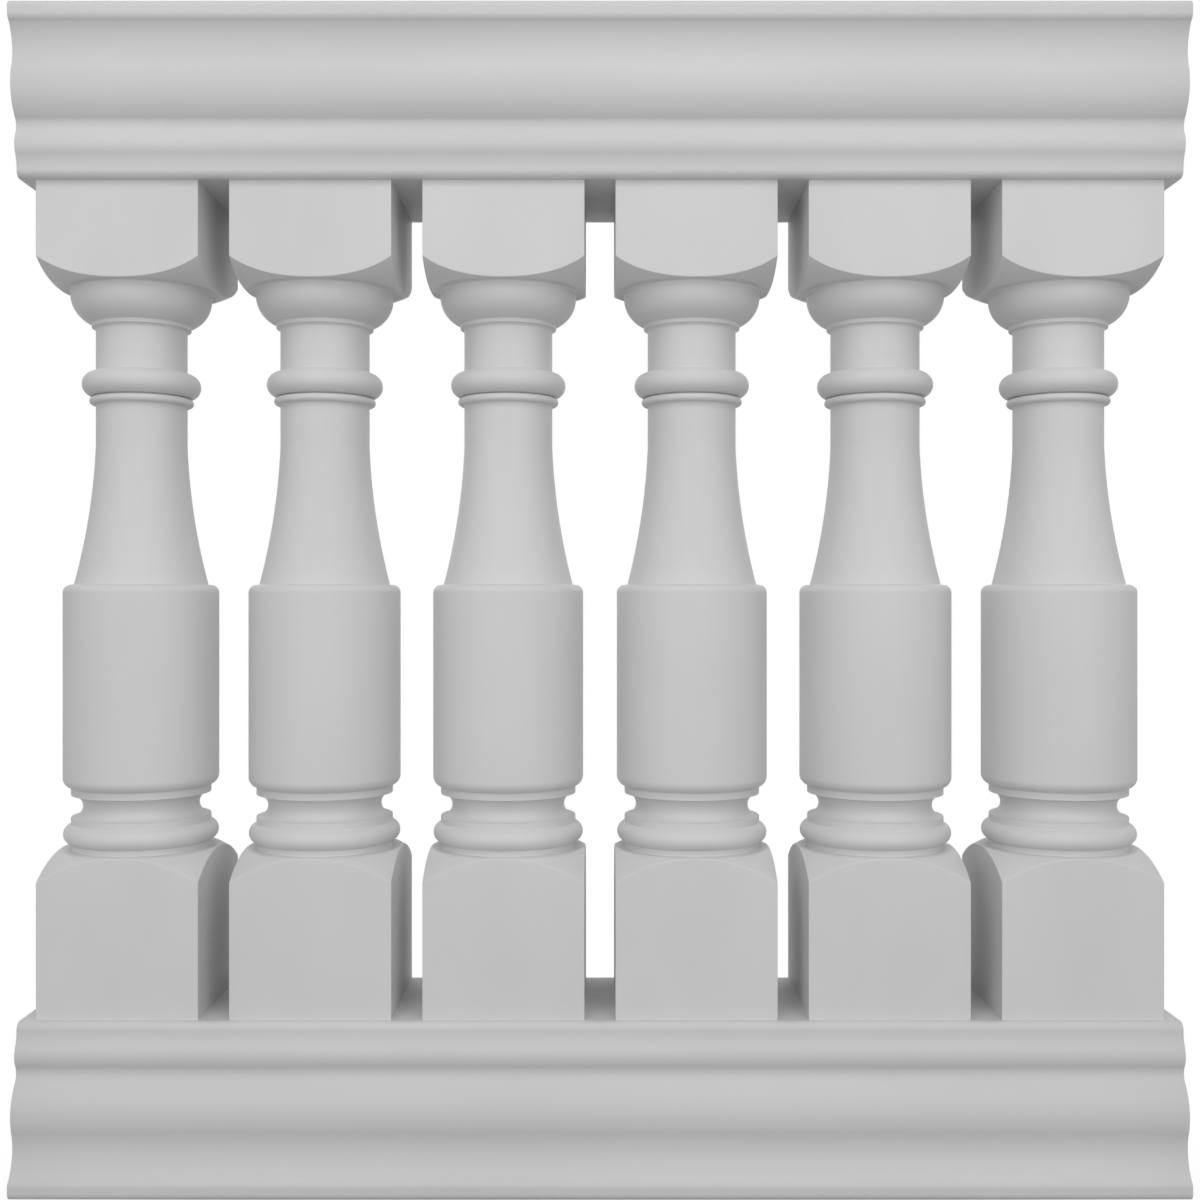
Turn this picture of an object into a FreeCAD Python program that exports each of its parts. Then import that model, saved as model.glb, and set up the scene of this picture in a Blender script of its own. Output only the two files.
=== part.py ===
import FreeCAD, Part
import enum
import functools
import math
import operator
import os
import types
import Sketcher

# Deck railing section: a row of turned balusters between two moulded rails, in millimetres.
# X runs along the rails, -Y is the front and Z is up. The origin is under the middle of the bottom rail.

ROW = (
    ("baluster_count", 6, "balusters between the rails"),
    ("block_width", 127.9, "side of a baluster's square blank"),
    ("block_gap", 24.5, "gap between neighbouring blocks"),
)
# Heights of a baluster's members, from its foot up
BALUSTER_HEIGHTS = (
    ("base_block_height", 106.9, "base block below its turned shoulder"),
    ("base_shoulder_height", 20.3, "turned shoulder of the base block"),
    ("base_fillet_height", 4.5, "fillet between the base block and the torus"),
    ("torus_height", 15.9, "torus"),
    ("torus_fillet_height", 5.5, "fillet above the torus"),
    ("scotia_height", 18.4, "scotia"),
    ("drum_fillet_height", 6.0, "fillet below the drum"),
    ("drum_height", 166.3, "drum, with its rounded edges"),
    ("flare_height", 114.4, "hollow flare from the drum to the neck"),
    ("lower_neck_height", 33.8, "neck below the bead"),
    ("bead_height", 6.4, "bead under the astragal"),
    ("quirk_height", 0.4, "groove between the bead and the astragal"),
    ("astragal_height", 20.3, "astragal"),
    ("upper_neck_height", 35.5, "neck above the astragal"),
    ("annulet_height", 4.7, "annulet under the ovolo"),
    ("ovolo_height", 22.9, "ovolo up to its widest"),
    ("ovolo_return_height", 3.9, "rounded top of the ovolo, in under the cap block"),
    ("cap_shoulder_height", 18.05, "turned shoulder of the cap block"),
    ("cap_block_height", 58.25, "cap block above its turned shoulder"),
)
# How far a baluster's members stand in or out
BALUSTER_REACHES = (
    ("turning_clearance", 1.0, "cut past the corners of the blank"),
    ("shoulder_inset", 0.6, "inner end of the shoulders inside the faces of the blocks"),
    ("drum_inset", 1.75, "drum inside the faces of the blocks"),
    ("fillet_step", 6.4, "fillets by the torus and the scotia inside the drum"),
    ("ovolo_step", 5.9, "ovolo inside the drum at its widest"),
    ("ovolo_return", 2.6, "top of the ovolo back from its widest"),
    ("scotia_shelf", 0.6, "flat shelf above and below the scotia"),
    ("drum_foot_round", 8.3, "height of the drum's rounded foot"),
    ("drum_top_round", 6.6, "radius of the drum's top edge"),
    ("flare_ledge", 2.05, "ledge on the drum around the flare"),
    ("neck_radius", 36.5, "neck"),
    ("bead_shelf", 1.9, "flat shelf under the bead"),
    ("astragal_shelf", 0.85, "flat shelf above and below the astragal"),
    ("annulet_shelf", 0.9, "flat shelf under the annulet"),
    ("annulet_round", 2.8, "height of the annulet's rounded foot"),
    ("annulet_reach", 2.3, "face of the annulet past its shelf"),
    ("base_shoulder_crown", 1.25, "rise of the base shoulder's arc over its chord"),
    ("cap_shoulder_crown", 2.2, "rise of the cap shoulder's arc over its chord"),
    ("torus_crown", 6.1, "rise of the torus's arc over its chord"),
    ("scotia_hollow", 8.8, "depth of the scotia's arc under its chord"),
    ("flare_hollow", 3.1, "depth of the flare's arc under its chord"),
)
# Heights of a rail's members, from the face that meets the balusters
RAIL_HEIGHTS = (
    ("lip_round", 6.2, "radius of the rounded lip"),
    ("lower_cove_height", 12.6, "cove over the lip"),
    ("rail_bead_height", 14.75, "bead over the lower cove"),
    ("rail_quirk_height", 11.4, "hollow over the bead"),
    ("bulge_height", 38.45, "round of the ogee"),
    ("upper_cove_height", 33.3, "hollow of the ogee"),
    ("edge_round_height", 5.7, "rounded lower edge of the fascia"),
    ("fascia_height", 4.5, "flat of the fascia"),
    ("outer_round", 5.45, "radius of the fascia's outer edge"),
)
# How far a rail's members stand out
RAIL_REACHES = (
    ("seat_margin", 1.45, "flat of the rail around the blocks"),
    ("lower_cove_reach", 3.1, "top of the lower cove past the lip"),
    ("rail_bead_return", 0.7, "top of the bead back from its foot"),
    ("rail_bead_crown", 1.9, "rise of the bead's arc over its chord"),
    ("bulge_reach", 8.0, "top of the round past its foot"),
    ("bulge_crown", 5.5, "rise of the round's arc over its chord"),
    ("upper_cove_reach", 5.1, "top of the hollow past the round"),
    ("edge_round_reach", 3.1, "fascia past the top of the hollow"),
)
SIZES = ROW + BALUSTER_HEIGHTS + BALUSTER_REACHES + RAIL_HEIGHTS + RAIL_REACHES
SHEET = "Sizes"


class Length:
    """A length worked out from the sheet: its value, and the expression that ties it to the cells."""

    def __init__(self, value, text):
        self.value = value
        self.text = text

    def __add__(self, other):
        other = length(other)
        return Length(self.value + other.value, f"({self.text} + {other.text})")

    def __sub__(self, other):
        other = length(other)
        return Length(self.value - other.value, f"({self.text} - {other.text})")

    def __mul__(self, other):
        other = length(other)
        return Length(self.value * other.value, f"({self.text} * {other.text})")

    def __truediv__(self, other):
        other = length(other)
        return Length(self.value / other.value, f"({self.text} / {other.text})")

    def root(self):
        """The square root."""
        return Length(math.sqrt(self.value), f"sqrt({self.text})")


def length(thing):
    """A plain number as a length, or a length as it is."""
    return thing if isinstance(thing, Length) else Length(thing, str(thing))


NOTHING = length(0)


def tie(owner, place, size):
    """Binds a property or a constraint to the sheet."""
    owner.setExpression(place, size.text)


def add_up(size, members):
    """The heights of the named members, added up."""
    heights = [getattr(size, alias) for alias, _, _ in members]
    return functools.reduce(operator.add, heights)


def arc_radius(half_chord, rise):
    """The radius of an arc from half its chord and its rise over it."""
    return (half_chord * half_chord + rise * rise) / (rise * 2)


class Spot(enum.IntEnum):
    """The points of a sketch edge that a constraint can take."""

    START = enum.auto()
    END = enum.auto()
    CENTRE = enum.auto()


class Outline:
    """A closed sketch outline, drawn with the solid on its left and every corner tied to the sheet.

    A sketch counts its level axis, which starts at the origin, as edge -1 and its upright axis as edge -2.
    """

    def __init__(self, sketch, across, up):
        self.sketch = sketch
        self.first = (across, up)
        self.here = self.first
        self.heading = None
        self.edges = []

    def line_to(self, across, rise=NOTHING):
        """A straight edge."""
        start, end = self._ends(across, rise)
        edge = self.sketch.addGeometry(Part.LineSegment(start, end))
        self._join(edge, Spot.START, Spot.END, across, rise)

    def round_to(self, across, rise, radius=None, crown=None):
        """A convex arc of a radius, or of a crown over its chord."""
        radius = radius or self._crowned(across, rise, crown)
        self._fix_radius(self._arc(across, rise, radius.value, hollow=False), radius)

    def hollow_to(self, across, rise, radius=None, crown=None):
        """A concave arc of a radius, or of a crown under its chord."""
        radius = radius or self._crowned(across, rise, crown)
        self._fix_radius(self._arc(across, rise, radius.value, hollow=True), radius)

    def half_round(self, rise):
        """A convex half circle, straight up."""
        across = self.here[0]
        edge = self._arc(across, rise, rise.value / 2, hollow=False)
        self._fix_across(edge, Spot.CENTRE, across)

    def smooth_hollow_to(self, across, rise):
        """A concave arc that runs on smoothly from the arc before it."""
        start, end = self._ends(across, rise)
        chord = end - start
        right = FreeCAD.Vector(self.heading.y, -self.heading.x, 0).normalize()
        radius = chord.Length**2 / (2 * chord.dot(right))
        before, _, before_end = self.edges[-1]
        edge = self._arc(across, rise, radius, hollow=True, smooth=True)
        self._constrain("Tangent", before, before_end, edge, Spot.END)

    def close(self):
        """A straight edge back to the first corner."""
        across, up = self.first
        self.line_to(across, up - self.here[1])
        edge, _, end = self.edges[-1]
        first, first_start, _ = self.edges[0]
        self._constrain("Coincident", edge, end, first, first_start)

    def _ends(self, across, rise):
        start = FreeCAD.Vector(self.here[0].value, self.here[1].value, 0)
        end = FreeCAD.Vector(across.value, (self.here[1] + rise).value, 0)
        return start, end

    def _crowned(self, across, rise, crown):
        run = across - self.here[0]
        half_chord = (run * run + rise * rise).root() / 2
        return arc_radius(half_chord, crown)

    def _arc(self, across, rise, radius, hollow, smooth=False):
        start, end = self._ends(across, rise)
        chord = end - start
        middle = start + chord / 2
        left = FreeCAD.Vector(-chord.y, chord.x, 0).normalize()
        offset = math.sqrt(max(radius**2 - chord.Length**2 / 4, 0))
        centre = middle - left * offset if hollow else middle + left * offset
        spokes = [end - centre, start - centre] if hollow else [start - centre, end - centre]
        angles = [math.atan2(spoke.y, spoke.x) for spoke in spokes]
        circle = Part.Circle(centre, FreeCAD.Vector(0, 0, 1), radius)
        edge = self.sketch.addGeometry(Part.ArcOfCircle(circle, *angles))
        ends = (Spot.END, Spot.START) if hollow else (Spot.START, Spot.END)
        self._join(edge, *ends, across, rise, smooth)
        spoke = end - centre
        ahead = FreeCAD.Vector(-spoke.y, spoke.x, 0)
        self.heading = -ahead if hollow else ahead
        return edge

    def _join(self, edge, start, end, across, rise, smooth=False):
        if self.edges and not smooth:
            before, _, before_end = self.edges[-1]
            self._constrain("Coincident", before, before_end, edge, start)
        self.edges.append((edge, start, end))
        self.here = (across, self.here[1] + rise)
        self._fix_across(edge, end, across)
        self._fix_up(edge, end, self.here[1])

    def _fix_across(self, edge, spot, across):
        if across is NOTHING:
            self._constrain("PointOnObject", edge, spot, -2)
            return
        index = self._constrain("DistanceX", -1, Spot.START, edge, spot, across.value)
        tie(self.sketch, f"Constraints[{index}]", across)

    def _fix_up(self, edge, spot, up):
        if up.value == 0:
            self._constrain("PointOnObject", edge, spot, -1)
            return
        index = self._constrain("DistanceY", -1, Spot.START, edge, spot, up.value)
        tie(self.sketch, f"Constraints[{index}]", up)

    def _fix_radius(self, edge, radius):
        index = self._constrain("Radius", edge, radius.value)
        tie(self.sketch, f"Constraints[{index}]", radius)

    def _constrain(self, *terms):
        return self.sketch.addConstraint(Sketcher.Constraint(*terms))


def make_sheet(doc):
    """The sheet of driving sizes."""
    sheet = doc.addObject("Spreadsheet::Sheet", SHEET)
    for row, (alias, value, meaning) in enumerate(SIZES, start=1):
        sheet.set(f"A{row}", meaning)
        sheet.set(f"B{row}", str(value))
        sheet.setAlias(f"B{row}", alias)
    doc.recompute()
    return sheet


def read_sizes(sheet):
    """The sheet's cells as lengths, each under its alias."""
    cells = {alias: Length(float(getattr(sheet, alias)), f"{SHEET}.{alias}") for alias, _, _ in SIZES}
    return types.SimpleNamespace(**cells)


def origin_plane(body, role):
    """One of a body's own origin planes."""
    return next(feature for feature in body.Origin.OriginFeatures if feature.Role == role)


def new_sketch(body, role, name):
    """An empty sketch on one of a body's origin planes."""
    sketch = body.newObject("Sketcher::SketchObject", name)
    sketch.AttachmentSupport = [(origin_plane(body, role), "")]
    sketch.MapMode = "FlatFace"
    return sketch


def new_body(doc, name):
    """An empty body whose label names the piece."""
    body = doc.addObject("PartDesign::Body", name)
    body.Label = name
    return body


def draw_blank(sketch, size):
    """The square end of a baluster's blank, centred on its axis."""
    half = size.block_width.value / 2
    places = ((-half, -half), (half, -half), (half, half), (-half, half))
    corners = [FreeCAD.Vector(across, along, 0) for across, along in places]
    edges = [sketch.addGeometry(Part.LineSegment(corners[i - 1], corners[i])) for i in range(len(corners))]
    left, front, right, back = edges
    for before, after in zip(edges, edges[1:] + edges[:1]):
        sketch.addConstraint(Sketcher.Constraint("Coincident", before, Spot.END, after, Spot.START))
    for edge in (left, right):
        sketch.addConstraint(Sketcher.Constraint("Vertical", edge))
    for edge in (front, back):
        sketch.addConstraint(Sketcher.Constraint("Horizontal", edge))
    opposite = (front, Spot.START, back, Spot.START)
    sketch.addConstraint(Sketcher.Constraint("Symmetric", *opposite, -1, Spot.START))
    for edge in (front, right):
        index = sketch.addConstraint(Sketcher.Constraint("Distance", edge, size.block_width.value))
        tie(sketch, f"Constraints[{index}]", size.block_width)


def draw_turning(sketch, size):
    """What the lathe takes off the blank, from the base shoulder up to the cap shoulder."""
    swing = size.block_width / math.sqrt(2) + size.turning_clearance
    shoulder = size.block_width / 2 - size.shoulder_inset
    drum = size.block_width / 2 - size.drum_inset
    drum_top = drum - size.drum_top_round
    fillet = drum - size.fillet_step
    scotia = fillet - size.scotia_shelf
    neck = size.neck_radius
    bead = neck + size.bead_shelf
    astragal = neck + size.astragal_shelf
    annulet_foot = neck + size.annulet_shelf
    annulet = annulet_foot + size.annulet_reach
    ovolo = drum - size.ovolo_step
    turning = Outline(sketch, swing, size.base_block_height)
    turning.round_to(shoulder, size.base_shoulder_height, crown=size.base_shoulder_crown)
    turning.line_to(fillet)
    turning.line_to(fillet, size.base_fillet_height)
    turning.round_to(fillet, size.torus_height, crown=size.torus_crown)
    turning.line_to(fillet, size.torus_fillet_height)
    turning.line_to(scotia)
    turning.hollow_to(scotia, size.scotia_height, crown=size.scotia_hollow)
    turning.line_to(fillet)
    turning.line_to(fillet, size.drum_fillet_height)
    turning.round_to(drum, size.drum_foot_round, radius=arc_radius(size.drum_foot_round, size.fillet_step))
    turning.line_to(drum, size.drum_height - size.drum_foot_round - size.drum_top_round)
    turning.round_to(drum_top, size.drum_top_round, radius=size.drum_top_round)
    turning.line_to(drum_top - size.flare_ledge)
    turning.hollow_to(neck, size.flare_height, crown=size.flare_hollow)
    turning.line_to(neck, size.lower_neck_height)
    turning.line_to(bead)
    turning.half_round(size.bead_height)
    turning.line_to(astragal)
    turning.line_to(astragal, size.quirk_height)
    turning.half_round(size.astragal_height)
    turning.line_to(neck)
    turning.line_to(neck, size.upper_neck_height)
    turning.line_to(annulet_foot)
    turning.round_to(annulet, size.annulet_round, radius=arc_radius(size.annulet_round, size.annulet_reach))
    turning.line_to(annulet, size.annulet_height - size.annulet_round)
    turning.round_to(ovolo, size.ovolo_height, radius=arc_radius(size.ovolo_height, ovolo - annulet))
    ovolo_top = arc_radius(size.ovolo_return_height, size.ovolo_return)
    turning.round_to(ovolo - size.ovolo_return, size.ovolo_return_height, radius=ovolo_top)
    turning.line_to(shoulder)
    turning.round_to(swing, size.cap_shoulder_height, crown=size.cap_shoulder_crown)
    turning.close()


def make_baluster(doc, size, name):
    """A baluster turned from a square blank that stays square at its foot and head."""
    body = new_body(doc, name)
    blank_sketch = new_sketch(body, "XY_Plane", f"{name}_blank_end")
    draw_blank(blank_sketch, size)
    blank = body.newObject("PartDesign::Pad", f"{name}_blank")
    blank.Profile = blank_sketch
    tie(blank, "Length", add_up(size, BALUSTER_HEIGHTS))
    turning_sketch = new_sketch(body, "XZ_Plane", f"{name}_turning_outline")
    draw_turning(turning_sketch, size)
    turning = body.newObject("PartDesign::Groove", f"{name}_turning")
    turning.Profile = turning_sketch
    turning.ReferenceAxis = (turning_sketch, ["V_Axis"])
    turning.Angle = 360
    doc.recompute()
    if turning.Shape.Volume >= blank.Shape.Volume:
        raise RuntimeError(f"{name} was not turned")
    return body


def draw_moulding(sketch, size):
    """Half of a rail's section, from the face that meets the balusters out to its flat outer face."""
    seat = size.block_width / 2 + size.seat_margin
    lip = seat + size.lip_round
    bead_foot = lip + size.lower_cove_reach
    bead_top = bead_foot - size.rail_bead_return
    bulge_top = bead_top + size.bulge_reach
    cove_top = bulge_top + size.upper_cove_reach
    fascia = cove_top + size.edge_round_reach
    lower_cove = arc_radius(size.lower_cove_height, size.lower_cove_reach)
    edge_round = arc_radius(size.edge_round_height, size.edge_round_reach)
    section = Outline(sketch, NOTHING, NOTHING)
    section.line_to(seat)
    section.round_to(lip, size.lip_round, radius=size.lip_round)
    section.hollow_to(bead_foot, size.lower_cove_height, radius=lower_cove)
    section.round_to(bead_top, size.rail_bead_height, crown=size.rail_bead_crown)
    section.smooth_hollow_to(bead_top, size.rail_quirk_height)
    section.round_to(bulge_top, size.bulge_height, crown=size.bulge_crown)
    section.smooth_hollow_to(cove_top, size.upper_cove_height)
    section.round_to(fascia, size.edge_round_height, radius=edge_round)
    section.line_to(fascia, size.fascia_height)
    section.round_to(fascia - size.outer_round, size.outer_round, radius=size.outer_round)
    section.line_to(NOTHING)
    section.close()


def make_rail(doc, size, name):
    """A moulded rail, run along X with the same moulding front and back."""
    body = new_body(doc, name)
    sketch = new_sketch(body, "YZ_Plane", f"{name}_section")
    draw_moulding(sketch, size)
    half = body.newObject("PartDesign::Pad", f"{name}_half")
    half.Profile = sketch
    half.SideType = "Symmetric"
    tie(half, "Length", row_length(size))
    whole = body.newObject("PartDesign::Mirrored", f"{name}_whole")
    whole.Originals = [half]
    whole.MirrorPlane = (origin_plane(body, "XZ_Plane"), [""])
    whole.Refine = True
    body.Tip = whole
    doc.recompute()
    return body


def pitch(size):
    """The distance from one baluster's axis to the next."""
    return size.block_width + size.block_gap


def row_length(size):
    """The length of the rails: one pitch for each baluster."""
    return pitch(size) * size.baluster_count


def build(doc, size):
    """All the pieces in their places."""
    rail_height = add_up(size, RAIL_HEIGHTS)
    bottom_rail = make_rail(doc, size, "bottom_rail")
    bottom_rail.Placement.Rotation = FreeCAD.Rotation(FreeCAD.Vector(1, 0, 0), 180)
    tie(bottom_rail, "Placement.Base.z", rail_height)
    top_rail = make_rail(doc, size, "top_rail")
    tie(top_rail, "Placement.Base.z", rail_height + add_up(size, BALUSTER_HEIGHTS))
    pieces = [bottom_rail, top_rail]
    for index in range(round(size.baluster_count.value)):
        baluster = make_baluster(doc, size, f"baluster_{index + 1}")
        tie(baluster, "Placement.Base.x", pitch(size) * (index + 0.5) - row_length(size) / 2)
        tie(baluster, "Placement.Base.z", rail_height)
        pieces.append(baluster)
    doc.recompute()
    return pieces


def check(doc, pieces):
    """Stops if any object failed or any piece is not one sound solid."""
    failed = [item.Name for item in doc.Objects if {"Invalid", "Error"} & set(item.State)]
    if failed:
        raise RuntimeError(f"failed objects: {failed}")
    for piece in pieces:
        if piece.Shape.isNull() or not piece.Shape.isValid() or len(piece.Shape.Solids) != 1:
            raise RuntimeError(f"{piece.Label} is not one sound solid")


def main():
    """Builds the section and writes one file for each piece."""
    doc = FreeCAD.newDocument("DeckRailingSection")
    pieces = build(doc, read_sizes(make_sheet(doc)))
    check(doc, pieces)
    os.makedirs("parts", exist_ok=True)
    for piece in pieces:
        piece.Shape.exportStep(f"parts/{piece.Label}.step")
        print(piece.Label, round(piece.Shape.Volume / 1e9, 6), "m3")


main()
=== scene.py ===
"""Deck railing section: two moulded rails and a row of turned balusters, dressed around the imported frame."""

import logging
import math
from dataclasses import dataclass, field
from enum import Enum
from typing import Any, ClassVar

import bmesh
import bpy
import numpy as np
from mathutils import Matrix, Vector


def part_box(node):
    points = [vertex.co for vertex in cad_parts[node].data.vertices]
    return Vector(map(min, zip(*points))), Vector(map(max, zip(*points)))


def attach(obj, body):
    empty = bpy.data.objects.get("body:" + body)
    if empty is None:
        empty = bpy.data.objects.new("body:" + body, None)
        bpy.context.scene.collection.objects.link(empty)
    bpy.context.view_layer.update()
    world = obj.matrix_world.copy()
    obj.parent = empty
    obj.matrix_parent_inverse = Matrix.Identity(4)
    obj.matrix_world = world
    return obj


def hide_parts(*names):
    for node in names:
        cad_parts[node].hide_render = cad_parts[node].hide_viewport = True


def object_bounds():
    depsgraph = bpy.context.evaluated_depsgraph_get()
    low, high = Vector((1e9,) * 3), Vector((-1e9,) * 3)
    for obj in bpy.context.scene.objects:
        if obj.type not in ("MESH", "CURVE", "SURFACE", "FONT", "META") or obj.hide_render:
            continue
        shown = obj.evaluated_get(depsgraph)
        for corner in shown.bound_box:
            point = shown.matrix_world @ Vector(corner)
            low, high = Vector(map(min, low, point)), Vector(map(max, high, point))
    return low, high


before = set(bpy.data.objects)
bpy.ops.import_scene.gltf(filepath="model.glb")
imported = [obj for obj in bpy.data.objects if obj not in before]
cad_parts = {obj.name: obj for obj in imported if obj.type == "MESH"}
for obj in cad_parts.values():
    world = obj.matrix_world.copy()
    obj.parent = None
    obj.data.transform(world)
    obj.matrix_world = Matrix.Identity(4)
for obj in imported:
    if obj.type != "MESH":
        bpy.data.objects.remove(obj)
CAD_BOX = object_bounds()

LOG = logging.getLogger("deck_railing_section")
MM = 0.001
QUARTER = math.pi / 2


def linear(code: str) -> tuple[float, float, float, float]:
    """Turns an sRGB hex colour into a linear one.

    Args:
        code: Six hex digits.

    Returns:
        Red, green, blue and an alpha of one.
    """
    shares = [int(code[place : place + 2], 16) / 255 for place in (0, 2, 4)]
    light = [s / 12.92 if s <= 0.04045 else ((s + 0.055) / 1.055) ** 2.4 for s in shares]
    return light[0], light[1], light[2], 1.0


def add_node(
    tree: bpy.types.NodeTree, kind: str, feeds: dict[Any, Any] | None = None, **settings: Any
) -> bpy.types.Node:
    """Adds a node to a tree with its settings and links.

    Args:
        tree: The tree that takes the node.
        kind: The node's type.
        feeds: What each input takes, by its name or place: an output to link, or a value.
        settings: The node's own settings.

    Returns:
        The new node.
    """
    node = tree.nodes.new(kind)
    for name, value in settings.items():
        setattr(node, name, value)
    for name, value in (feeds or {}).items():
        if isinstance(value, bpy.types.NodeSocket):
            tree.links.new(value, node.inputs[name])
        else:
            node.inputs[name].default_value = value
    return node


def bow_radius(half_chord: float, rise: float) -> float:
    """The radius of an arc from half its chord and its rise over it."""
    return (half_chord**2 + rise**2) / (2 * rise)


@dataclass
class Outline:
    """A cutter's outline in millimetres, drawn edge by edge with the solid on its left.

    Attributes:
        across: How far out the pen stands.
        up: How high the pen stands.
        edges: The edges so far, each as a row of points.
        heading: The way the last curve leaves the pen.
    """

    across: float
    up: float
    edges: list[np.ndarray] = field(default_factory=list)
    heading: np.ndarray | None = None

    CURVE_STEP: ClassVar[float] = 1.0
    CURVE_TURN: ClassVar[float] = math.radians(7)
    FEWEST_STEPS: ClassVar[int] = 3
    SHARP_TURN: ClassVar[float] = math.radians(14)
    EASING_SHARES: ClassVar[tuple[float, ...]] = (0.25, 0.5, 0.75)
    LONGEST_CUT: ClassVar[float] = 0.3
    SUPPORT_RUN: ClassVar[float] = 4.0
    NEAR: ClassVar[float] = 1e-4

    def line_to(self, across: float, rise: float = 0.0) -> None:
        """Draws a straight edge."""
        self._keep(np.array([[self.across, self.up], [across, self.up + rise]]))

    def arc_to(self, across: float, rise: float, radius: float, hollow: bool = False) -> None:
        """Draws an arc.

        Args:
            across: How far out it ends.
            rise: How far up it goes.
            radius: Its radius.
            hollow: Whether it is cut into the solid.
        """
        start = np.array([self.across, self.up])
        end = np.array([across, self.up + rise])
        chord = end - start
        span = float(np.linalg.norm(chord))
        left = np.array([-chord[1], chord[0]]) / span
        offset = math.sqrt(max(radius**2 - span**2 / 4, 0.0))
        side = -1 if hollow else 1
        centre = (start + end) / 2 + left * offset * side
        first, last = (math.atan2(spoke[1], spoke[0]) for spoke in (start - centre, end - centre))
        turn = side * ((side * (last - first)) % math.tau)
        by_length = math.ceil(abs(turn) * radius / self.CURVE_STEP)
        by_turn = math.ceil(abs(turn) / self.CURVE_TURN)
        steps = max(self.FEWEST_STEPS, by_length, by_turn)
        angles = first + turn * np.linspace(0, 1, steps + 1)
        self._keep(centre + radius * np.column_stack([np.cos(angles), np.sin(angles)]))
        self.heading = side * np.array([-math.sin(angles[-1]), math.cos(angles[-1])])

    def bow_to(self, across: float, rise: float, crown: float, hollow: bool = False) -> None:
        """Draws an arc that stands a crown's height off its chord.

        Args:
            across: How far out it ends.
            rise: How far up it goes.
            crown: The height of its middle over its chord.
            hollow: Whether it is cut into the solid.
        """
        half_chord = math.hypot(across - self.across, rise) / 2
        self.arc_to(across, rise, bow_radius(half_chord, crown), hollow)

    def half_round(self, rise: float) -> None:
        """Draws half a circle, straight up."""
        self.arc_to(self.across, rise, rise / 2)

    def smooth_hollow_to(self, across: float, rise: float) -> None:
        """Draws a hollow that runs on smoothly from the curve before it.

        Args:
            across: How far out it ends.
            rise: How far up it goes.
        """
        chord = np.array([across - self.across, rise])
        right = np.array([self.heading[1], -self.heading[0]])
        self.arc_to(across, rise, float(chord @ chord / (2 * chord @ right)), hollow=True)

    def eased(self, arris: float) -> np.ndarray:
        """Joins the edges and eases their sharp corners.

        Args:
            arris: How far from a corner its easing starts.

        Returns:
            The points of the whole outline.
        """
        lengths = [float(np.linalg.norm(np.diff(edge, axis=0), axis=1).sum()) for edge in self.edges]
        pairs = zip(self.edges, self.edges[1:])
        joints = [self._turn(before, after) > self.SHARP_TURN for before, after in pairs]
        cuts = [min(arris, self.LONGEST_CUT * length) for length in lengths]
        points: list[np.ndarray] = []
        for place, edge in enumerate(self.edges):
            head = cuts[place] if place > 0 and joints[place - 1] else 0.0
            tail = cuts[place] if place < len(joints) and joints[place] else 0.0
            run = self._trimmed(edge, head, tail, arris)
            if head:
                corner = edge[0]
                leave = points[-1]
                for share in self.EASING_SHARES:
                    rest = 1 - share
                    points.append(rest**2 * leave + 2 * rest * share * corner + share**2 * run[0])
                points.extend(run)
            else:
                points.extend(run if not points else run[1:])
        return np.array(points)

    def _keep(self, edge: np.ndarray) -> None:
        """Keeps an edge and moves the pen to its end."""
        self.edges.append(edge)
        self.across, self.up = (float(value) for value in edge[-1])

    @staticmethod
    def _turn(before: np.ndarray, after: np.ndarray) -> float:
        """Finds how far the outline turns from one edge to the next.

        Args:
            before: The edge that ends at the corner.
            after: The edge that starts there.

        Returns:
            The angle in radians.
        """
        arrive = before[-1] - before[-2]
        leave = after[1] - after[0]
        cross = arrive[0] * leave[1] - arrive[1] * leave[0]
        return abs(math.atan2(cross, float(arrive @ leave)))

    @classmethod
    def _trimmed(cls, edge: np.ndarray, head: float, tail: float, support: float) -> np.ndarray:
        """Cuts an edge back at both ends, with support points near the ends of a straight one.

        Args:
            edge: The edge's points.
            head: The length cut off its start.
            tail: The length cut off its end.
            support: How far from a straight edge's ends its support points stand.

        Returns:
            The shorter edge's points.
        """
        along = np.concatenate([[0.0], np.cumsum(np.linalg.norm(np.diff(edge, axis=0), axis=1))])
        first, last = head, along[-1] - tail
        inner = along[1:-1]
        if len(edge) == 2:
            inner = np.array([first + support, last - support])
            inner = inner if last - first > cls.SUPPORT_RUN * support else inner[:0]
        inner = inner[(inner > first + cls.NEAR) & (inner < last - cls.NEAR)]
        stops = np.concatenate([[first], inner, [last]])
        return np.column_stack([np.interp(stops, along, edge[:, axis]) for axis in range(2)])


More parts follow.
